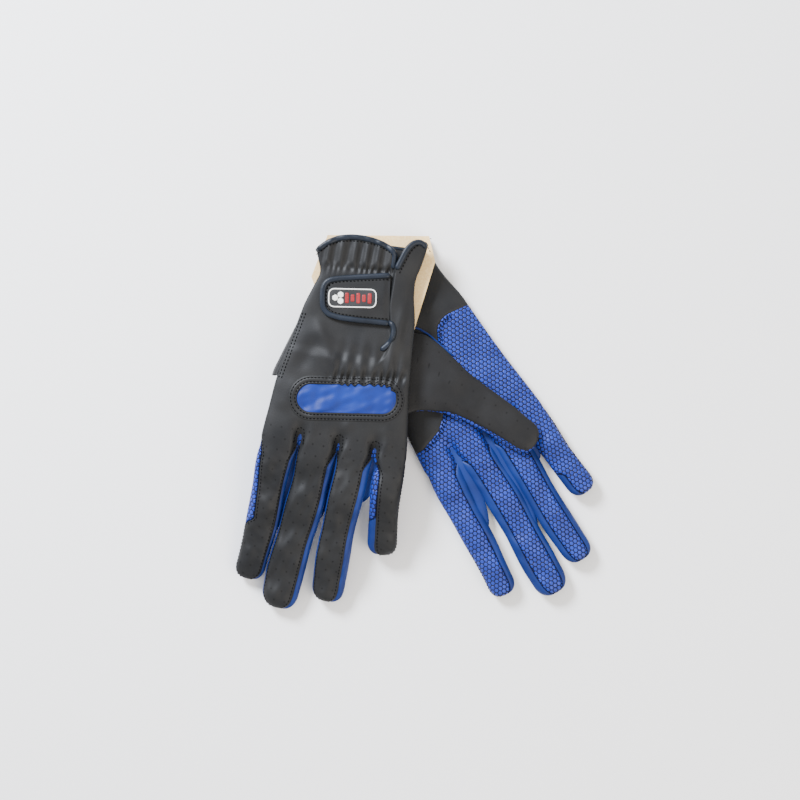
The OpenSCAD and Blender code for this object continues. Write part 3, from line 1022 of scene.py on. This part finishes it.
for side, glove in GLOVES.items():
    hand = side + "_hand"
    u, k = np.linspace(0, 1, 221)[None, :], np.linspace(0, 1, 26)[:, None]
    x_edge, y_edge = oval(u, 0.9)
    x_mid, y_mid = oval(u, -OVAL_R)
    x, y = x_mid + k * (x_edge - x_mid), y_mid + k * (y_edge - y_mid)
    soft = smooth(0.3, -2.6, oval_distance(x, y))
    drape = soft * (0.5 * np.cos(2 * math.pi * (x - 0.5 * y + 2.5 * np.sin(y / 5)) / 18 + 0.8)
                    + folds(x, y, 31, 0.35, 15, 5))
    grid = xyz(x, y, back_z(x, y, sunk=False) - 0.25 + drape)
    panel = cloth(side + "_knuckle_stretch", glove, grid, below(grid), KNUCKLE_KNIT, thick=0.5)
    ride(panel, "stretch", hand, side + "_knuckle_panel")

    inner = -0.7 + scallops(*oval(u, 0.0))
    offset = inner + (5.2 - inner) * np.linspace(0, 1, 22)[:, None]
    x, y = oval(u, offset)
    past = offset - inner
    rise = 0.85 * smooth(0, 0.8, past) * smooth(5.4, 3.6, offset)
    sewn = 0.35 * np.exp(-((past - 1.5) / 0.5) ** 2) + 0.35 * np.exp(-((offset - 3.5) / 0.5) ** 2)
    grid = xyz(x, y, back_z(x, y, sunk=False) - 0.2 + rise - sewn)
    border = cloth(side + "_knuckle_border", glove, grid, below(grid), HAND_LEATHER, thick=0.5)
    ride(border, "leather", hand)
    v = np.linspace(0, 1, 320)
    rows = [on_back(*oval(v, -0.7 + 1.5 + scallops(*oval(v, 0.0))), 0.35, sunk=False),
            on_back(*oval(v, 3.5), 0.3, sunk=False)]
    ride(stitches(side + "_knuckle_stitching", glove, rows, BLACK_THREAD), "trim", hand)
print("pieces with the knuckle panels:", len(pieces))

# %% [markdown]
# At each crotch a row of stitches runs off one finger, round the notch and onto the next.
# A flat elastic is sewn inside the wrist.

# %% Crotch stitches and elastic
for side, glove in GLOVES.items():
    hand = side + "_hand"
    rows = []
    for i in range(3):
        left = STALL_X[i] + ROOT_WIDTHS[i] / 2 - 2.6
        right = STALL_X[i + 1] - ROOT_WIDTHS[i + 1] / 2 + 2.6
        t = np.linspace(0, 1, 24)
        y = -5.5 + 9.5 * (1 - (2 * t - 1) ** 4) ** 0.6
        rows.append(on_back(left + (right - left) * t, y, 0.05))
    ride(stitches(side + "_crotch_stitching", glove, rows, BLACK_THREAD), "trim", hand)
    x, v = np.linspace(-24, 14, 40)[None, :], np.linspace(-3, 3, 7)[:, None]
    y = 109.6 + WRIST_SLOPE * x + v
    grid = xyz(x, y, back_z(x + 0 * y, y) - 1.5)
    band = cloth(side + "_wrist_band", glove, grid, below(grid), ELASTIC, thick=0.6)
    ride(band, "elastic", hand, side + "_wrist_elastic")

# %% [markdown]
# The cuff's edge and the slit are bound with a folded strip, a bead about 3 mm wide. A
# row of stitches in a shallow groove holds it.

# %% Bound edges
def edge_bead(name, glove, xy, body, inset=0.6, nodes=(), half_width=1.8, half_height=1.2):
    """A bead on the back sheet along a line of points."""
    xy = spaced(np.asarray(xy, float), 1.2)[0]
    path, up = on_back(xy[:, 0], xy[:, 1] - inset)
    bound = bead(name, glove, path, up, half_width, half_height, BOUND_LEATHER)
    ride(bound, "trim", body, *nodes)


def rounded(xy, amount=3.0):
    """The line with its corners eased: each point is averaged with its neighbours."""
    xy = spaced(np.asarray(xy, float), 0.8)[0]
    width = max(int(amount / 0.8), 1)
    padded = np.concatenate([xy[:1].repeat(width, 0), xy, xy[-1:].repeat(width, 0)])
    return np.stack([np.convolve(padded[:, k], np.ones(2 * width + 1) / (2 * width + 1), "valid")
                     for k in (0, 1)], 1)


def on_palm(x, y, lift):
    """Points on the palm's face at x and y, with lift added to z."""
    return xyz(x, y, palm_height(hand_s(x, y), x, y) + lift)


CUFF_LINE = [(-33.2, 117), (-27, 123.6), (-20.3, 127.6), (-13, 129.6), (-5.6, 130.3),
             (1, 130.0), (7.5, 128.8), (13, 126.7), (16.4, 124.2), (17.2, 113.5)]
FLAP_LINE = [(18.9, 113.5), (23.2, 127.6), (25.6, 131.6), (28.2, 133.6), (31, 134.2),
             (33.5, 133.4), (35.6, 130.5)]
SLIT_LINE = [(19.5, 79.9), (22.6, 79.2), (24.7, 75.5), (24.4, 69.5), (21.8, 64.4), (17.8, 60.4)]
for side, glove in GLOVES.items():
    hand = side + "_hand"
    edge_bead(side + "_cuff_edge", glove, rounded(CUFF_LINE, 2), hand,
              nodes=[side + "_cuff_binding"])
    edge_bead(side + "_flap_edge", glove, rounded(FLAP_LINE, 2), hand,
              nodes=[side + "_flap_binding"])
    edge_bead(side + "_slit_edge", glove, rounded(SLIT_LINE, 3), hand, -0.4, half_width=1.75,
              half_height=1.4)
    rows = []
    for line, shift in ((CUFF_LINE[:-1], (0.3, -3.1)), (FLAP_LINE, (2.6, -1.6))):
        xy = rounded(line, 2) + np.array(shift)
        rows.append(on_back(xy[:, 0], xy[:, 1], 0.05))
    ride(stitches(side + "_cuff_stitching", glove, rows, BLACK_THREAD), "trim", hand)
    x = np.linspace(-33.5, 35.6, 60)
    path = on_palm(x, np.interp(x, *HEEL_TOP) - 0.4, 0.3)
    hem = bead(side + "_palm_hem", glove, path, facing(-1, 60), 1.3, 0.9, BOUND_LEATHER)
    ride(hem, "trim", hand)
print("pieces with the bound edges:", len(pieces))

# %% [markdown]
# The closure tab is a padded leather piece with a thick bound edge. It is drawn as a fan:
# the outline with rounded corners is scaled towards its centre, and its height falls off
# towards the edge. Hook tape under it meets loop tape on the cuff.

# %% Closure tab
TAB_ROOT = (18.4, 94.5)


def tab_to_glove(p):
    """The tab's frame, x to its free end, to the glove's: mirror, turn, move."""
    x, y = -p[..., 0], p[..., 1]
    c, s = math.cos(CROSS_LEAN), math.sin(CROSS_LEAN)
    return xyz(TAB_ROOT[0] + x * c - y * s, TAB_ROOT[1] + x * s + y * c, p[..., 2])


def on_tab(line, lift):
    """Points on the tab's face along a line in the tab's frame, with lift added to z."""
    return xyz(line[:, 0], line[:, 1], tab_height(line[:, 0], line[:, 1]) + lift)


def eased_outline(corners, radii, count=240):
    """A closed polygon whose corners are quadratic curves of given reach, evenly spaced."""
    points = []
    for i, corner in enumerate(corners):
        c = np.array(corner, float)
        before = np.array(corners[i - 1], float) - c
        after = np.array(corners[(i + 1) % len(corners)], float) - c
        p0 = c + unit(before) * radii[i]
        p2 = c + unit(after) * radii[i]
        w = np.linspace(0, 1, 17)[:, None]
        points.append((1 - w) ** 2 * p0 + 2 * w * (1 - w) * c + w ** 2 * p2)
    closed = np.concatenate([*points, points[0][:1]])
    return spaced(closed, lengths(closed)[-1] / count)[0]


def oblong(x0, y0, x1, y1, reach, count=120):
    return eased_outline([(x0, y0), (x1, y0), (x1, y1), (x0, y1)], [reach] * 4, count)


def fan(outline, z_of, rings=20):
    """Grid from the centre to the outline; z_of takes x, y and k, which is 1 at the edge."""
    centre = outline.mean(0)
    k = np.linspace(0, 1, rings)[:, None]
    x = centre[0] + k * (outline[None, :, 0] - centre[0])
    y = centre[1] + k * (outline[None, :, 1] - centre[1])
    return xyz(x, y, z_of(x, y, k + 0 * x))


TAB_OUTLINE = eased_outline([(-0.6, -16.2), (44, -13), (44, 13), (-0.6, 16.2)],
                            [1.5, 11, 9.5, 1.5])
TAB_PATH = [(-1.0, 15.1), (20, 13.4), (33, 12.3), (39.5, 11.0), (42.3, 7.2), (42.8, 0.5),
            (42.4, -6.4), (39.0, -10.6), (31.5, -12.6), (20, -13.9), (3, -15.2), (-1, -15.6)]


def tab_height(x, y):
    """z of the tab's face: gently crowned, with a slow warp along it."""
    return (10.25 + 0.45 * (1 - (y / 16) ** 2) * smooth(46, 30, x)
            + 0.25 * np.sin(x / 7.0 + y / 11.0) + 0.12 * np.sin(y / 2.9 + x / 5.0))


def tab_face_z(x, y, k):
    return tab_height(x, y) - 0.5 * smooth(0.8, 0.93, k)


for side, glove in GLOVES.items():
    tab = side + "_tab"
    grid = tab_to_glove(fan(TAB_OUTLINE * 0.97 + [0.6, 0], tab_face_z))
    face = cloth(side + "_tab_face", glove, grid, below(grid), HAND_LEATHER, thick=1.1)
    ride(face, "leather", tab, side + "_wrist_tab")
    line = rounded(TAB_PATH, 2.5)
    up = facing(1, len(line))
    rim = bead(side + "_tab_rim", glove, tab_to_glove(on_tab(line, -0.1)), up, 1.75, 1.15,
               BOUND_LEATHER)
    ride(rim, "trim", tab, side + "_tab_binding")
    inside = line[4:-4] * [0.952, 0.83] + [-0.2, 0]
    row = tab_to_glove(on_tab(inside, 0.0)), up[:len(inside)]
    ride(stitches(side + "_tab_stitching", glove, [row], BLACK_THREAD), "trim", tab)
    hook_line = oblong(15, -9, 39, 9, 2)
    grid = tab_to_glove(fan(hook_line, lambda x, y, k: 9.3 + 0 * x, 12))
    hook = cloth(side + "_hook_tape", glove, grid, below(grid, 1.0), HOOK_TAPE, thick=0.5)
    ride(hook, "hook", tab, side + "_hook_patch")
    loop_line = oblong(8, -10, 40, 10, 2, 160)
    grid = tab_to_glove(fan(loop_line, lambda x, y, k: 0 * x, 24))
    grid[..., 2] = np.minimum(back_z(grid[..., 0], grid[..., 1]) + 0.3, 8.75)
    loop = cloth(side + "_loop_tape", glove, grid, below(grid), LOOP_TAPE, thick=0.5)
    ride(loop, "loop", side + "_hand", side + "_loop_patch")

# %% [markdown]
# The badge is a moulded rubber plate: a rounded white frame line round three white
# hexagons and a row of plain red bars, which say nothing.

# %% Badge
def plate(name, glove, outline, low, high, material, body, nodes=()):
    """A low moulded plate with a rounded shoulder, in the tab's frame."""
    grid = tab_to_glove(fan(outline, lambda x, y, k: tab_height(x, y) + low
                            + (high - low) * (1 - k ** 14), 14))
    made = cloth(name, glove, grid, below(grid), material, thick=0.3)
    ride(made, "badge", body, *nodes)


def hexagon(cx, cy, r):
    a = np.radians(np.arange(0, 360, 60) + 30)
    return eased_outline([(cx + r * math.cos(v), cy + r * math.sin(v)) for v in a], [0.5] * 6, 36)


for side, glove in GLOVES.items():
    tab = side + "_tab"
    plate(side + "_badge_plate", glove, oblong(8.0, -6.4, 39.4, 6.4, 4), -0.1, 0.28, BADGE_BLACK,
          tab, [side + "_tab_badge"])
    ring = oblong(8.7, -5.7, 38.7, 5.7, 4)
    path = on_tab(ring, 0.3)
    grid = bead_grid(path, facing(1, len(path)), 0.36, 0.25, 8)
    grid[0] = grid[-1] = (grid[1] + grid[-2]) / 2
    line = cloth(side + "_badge_frame", glove, tab_to_glove(grid), tab_to_glove(path[:, None]),
                 BADGE_WHITE, thick=0)
    ride(line, "badge", tab)
    for n, (cx, cy) in enumerate([(34.6, 0), (31.2, 2.0), (31.2, -2.0)]):
        plate(f"{side}_badge_cell_{n}", glove, hexagon(cx, cy, 2.1), 0.2, 0.6, BADGE_WHITE, tab)
    for n, height in enumerate([3.4, 2.4, 3.4, 2.4, 3.4]):
        x = 27.2 - 3.6 * n
        plate(f"{side}_badge_bar_{n}", glove, oblong(x - 1.25, -height, x + 1.25, height, 0.9, 48),
              0.2, 0.6, BADGE_RED, tab)
print("pieces with the tab and badge:", len(pieces))

# %% [markdown]
# The thumb is one sleeve with a flattened oval section. Its rows run from the tip, across
# the fold line, and fan out over the palm to the hand's side edge. There its leather face
# wraps round the edge and bulges out a little. Grip fabric makes the side that faces the
# palm and shows as a thin rim along the lower edge.

# %% Thumb
THUMB_ROWS = np.array([      # left and right end of each row, from the tip to the hand's edge
    (14.8, -20.3, 34.2, -8.7), (7.4, -7.3, 30, 3), (0, 4.6, 25.3, 13), (-7, 13.6, 19.5, 25),
    (-14.2, 22.2, 14, 37), (-22, 28, 9.2, 54), (-30, 32.6, 5, 66), (-36.5, 33.6, -1, 75),
    (-41.5, 34.0, -14, 80), (-44.0, 34.2, -26, 82), (-44.4, 34.4, -35.2, 82)], float)


WRAP_ROWS = 14          # rows of the sleeve that wrap round the hand's edge


def thumb_rows():
    """Rows of the sleeve: ends left and right, half height and how far into the tip."""
    at = np.linspace(0, 10, 84)
    ends = np.stack([np.interp(at, np.arange(11), THUMB_ROWS[:, k]) for k in range(4)], 1)
    wide = np.concatenate([ends[:1].repeat(4, 0), ends, ends[-1:].repeat(4, 0)])
    ends = sum(wide[k:k + 84] for k in range(9)) / 9
    ends[0] = THUMB_ROWS[0]
    turn = np.linspace(90, 0, 13)[:-1]
    middle = (THUMB_ROWS[0, :2] + THUMB_ROWS[0, 2:]) / 2
    half = (THUMB_ROWS[0, 2:] - THUMB_ROWS[0, :2]) / 2
    ahead = np.array([half[1], -half[0]]) * 0.97
    c, s = np.cos(np.radians(turn)), np.sin(np.radians(turn))
    across = np.abs(c) ** (2 / 2.3)
    centre = middle + np.outer(s ** (2 / 2.3), ahead)
    tip = np.concatenate([centre - across[:, None] * half, centre + across[:, None] * half], 1)
    return np.concatenate([tip, ends]), np.concatenate([across ** 0.7, np.ones(84)]), np.r_[
        -np.sin(np.radians(turn)), at]


def thumb_grid(first_angle, last_angle, columns, rows, height, at):
    """Section |x/hw|^n + |z/hh|^n = 1 between two angles, 180 being the left end and 270
    the outer face; n grows from 2.6 to 5 where the sleeve is widest."""
    q = np.linspace(0, 1, columns)[None, :]
    angle = np.radians(first_angle + (last_angle - first_angle) * q)
    n = (2.6 + 2.4 * smooth(4, 7, at))[:, None]
    c, s = np.cos(angle), np.sin(angle)
    x = np.sign(c) * np.abs(c) ** (2 / n)
    z = np.sign(s) * np.abs(s) ** (2 / n)
    middle, half = (rows[:, :2] + rows[:, 2:]) / 2, (rows[:, 2:] - rows[:, :2]) / 2
    flat = middle[:, None] + x[..., None] * half[:, None]
    soft = folds(flat[..., 0], flat[..., 1], 17, 0.45, 34, 9) * (z < 0) * np.abs(z)
    up = THUMB_Z + 2.75 * height[:, None] * z + soft * height[:, None] * 0.8
    return np.concatenate([flat, up[..., None]], -1), middle


for side, glove in GLOVES.items():
    rows, height, at = thumb_rows()
    half_width = np.linalg.norm(rows[:, 2:] - rows[:, :2], axis=1) / 2
    rim = 1.9 * smooth(4.6, 3.6, at)
    share = np.clip(1 - rim / np.maximum(half_width, 2.2), 0, 1)
    low = (180 + np.degrees(np.arccos(share ** 1.3)))[:, None]
    grid, middle = thumb_grid(low, 366 + 0 * low, 64, rows, height, at)
    edge, w = grid[-1], np.linspace(0, math.pi, WRAP_ROWS + 1)[1:, None]
    bulge = np.interp(edge[:, 1], [33, 38, 55, 72, 82], [3.0, 3.3, 2.1, 0.7, 0.0])
    wrap = xyz(edge[:, 0] - bulge * np.sin(w) + 0.8 * (1 - np.cos(w)) / 2, edge[:, 1],
               edge[:, 2] + (6.5 - edge[:, 2]) * (1 - np.cos(w)) / 2)
    grid = np.concatenate([grid, wrap])
    core = xyz(grid[..., 0], grid[..., 1], THUMB_Z)
    core[-WRAP_ROWS:, :, 0] += 6
    core[-WRAP_ROWS:, :, 2] = 0
    width = 2 * np.r_[half_width, half_width[-1].repeat(WRAP_ROWS)]
    across = np.arange(64.0) * width[:, None] / 63
    across = across - across[:, 32:33]
    uv = xyz(across, lengths(grid[:, 32])[:, None], 0)[..., :2]
    sign = outward_sign(grid, core)
    grid = edge_dip(grid, sign, 0.35, 0.9, fade=np.r_[smooth(0, 2, at + 1), np.zeros(WRAP_ROWS)])
    sleeve = cloth(side + "_thumb_sleeve", glove, grid, core, THUMB_LEATHER, uv, 0.9)
    turn = math.atan2(19, 39)
    fold, ahead = np.array([-10.5, 44.5, -6.6]), np.array([math.sin(turn), -math.cos(turn), 0])
    reach = [laid(glove, fold + ahead * d) for d in (-5.0, 6.0)]
    bend(sleeve, "leather", side, "thumb", reach, side + "_thumb_back", side + "_thumb_gusset")

    stall = at < 6.2
    lined, middle = thumb_grid(6 + 0 * low[stall], low[stall], 72, rows[stall], height[stall],
                               at[stall])
    core = xyz(lined[..., 0] * 0.98, lined[..., 1], THUMB_Z)
    core = 0.9 * core + 0.1 * xyz(middle[:, 0], middle[:, 1], THUMB_Z)[:, None]
    lining = cloth(side + "_thumb_grip_side", glove, lined, core, GRIP_FABRIC, lined[..., :2])
    bend(lining, "grip", side, "thumb", reach, side + "_thumb_palm")

    y = 33.5 + np.linspace(0, 1, 60) * 42
    x = along(THUMB_SIDE, y) + 1.6
    seam = [on_back(x, y, 0.1), on_back(x + 1.8, y, 0.1)]
    hand = side + "_hand"
    ride(stitches(side + "_gusset_stitching", glove, seam, BLACK_THREAD), "trim", hand)
    line = rounded([(-22, 83.4), (-8, 82.4), (-1.5, 78), (2.8, 71), (6, 62), (10.2, 51)], 2)
    path = on_palm(line[:, 0], line[:, 1], -0.7) + [0.6, 0, 0]
    piping = bead(side + "_thumb_piping", glove, path, facing(-1, len(path)), 0.7, 0.9,
                  STRETCH_KNIT)
    ride(piping, "stretch", hand)
print("pieces with the thumbs:", len(pieces))

# %% [markdown]
# Two rows of navy stitches run just inside the grip fabric's curved edge on the palm. The
# paperboard card is flat and cut as in the CAD, so its solid stays and only gets its
# material.

# %% Palm stitching and card
for side, glove in GLOVES.items():
    rows = []
    for inset in (1.0, 2.5):
        line = rounded(GRIP_EDGE[1:-1], 2.4)
        line = line[(line[:, 0] > -39) & (line[:, 0] < 36)]
        direction = unit(np.gradient(line, axis=0))
        line = line + inset * np.stack([direction[:, 1], -direction[:, 0]], 1)
        rows.append((on_palm(line[:, 0], line[:, 1], -0.3), facing(-1, len(line))))
    thread = stitches(side + "_palm_stitching", glove, rows, BLUE_THREAD, thin=0.42)
    ride(thread, "trim", side + "_hand")

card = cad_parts["insert_card"]
card.data.materials.clear()
card.data.materials.append(PAPERBOARD)
print("pieces in all:", len(pieces))

# %% [markdown]
# Soft studio light: a pale floor, a strong lamp above and to the left, a weaker and wider
# one from the right, and a pale sky.

# %% Floor, lamps and sky
floor_mesh = bpy.data.meshes.new("floor")
FLOOR_REACH = 3.0       # half the floor's width, m
corners = [(x * FLOOR_REACH, y * FLOOR_REACH, 0) for x, y in ((-1, -1), (1, -1), (1, 1), (-1, 1))]
floor_mesh.from_pydata(corners, [], [(0, 1, 2, 3)])
floor = bpy.data.objects.new("floor", floor_mesh)
floor_finish, _, _ = start("white_paper_floor", "#f7f7f7", 0.9)
floor_mesh.materials.append(floor_finish)
bpy.context.scene.collection.objects.link(floor)
floor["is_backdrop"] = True


def lamp(name, place, size, power, tint):
    data = bpy.data.lights.new(name, "AREA")
    data.color = colour(tint)[:3]
    data.shape, data.size, data.energy = "DISK", size, power
    obj = bpy.data.objects.new(name, data)
    obj.location = place
    direction = np.array([0.0, 0.0, 0.01]) - np.array(place)
    obj.rotation_euler = Vector(direction.tolist()).to_track_quat("-Z", "Y").to_euler()
    bpy.context.scene.collection.objects.link(obj)


lamp("window_lamp", (-0.8, 0.9, 0.9), 0.5, 72, "#f0f5ff")
lamp("fill_lamp", (0.9, -0.6, 1.3), 1.2, 22, "#fff4e6")
world = bpy.data.worlds.new("pale_sky")
world.use_nodes = True
world.node_tree.nodes["Background"].inputs["Color"].default_value = colour("#ffffff")
world.node_tree.nodes["Background"].inputs["Strength"].default_value = 1.2
bpy.context.scene.world = world

low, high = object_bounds()
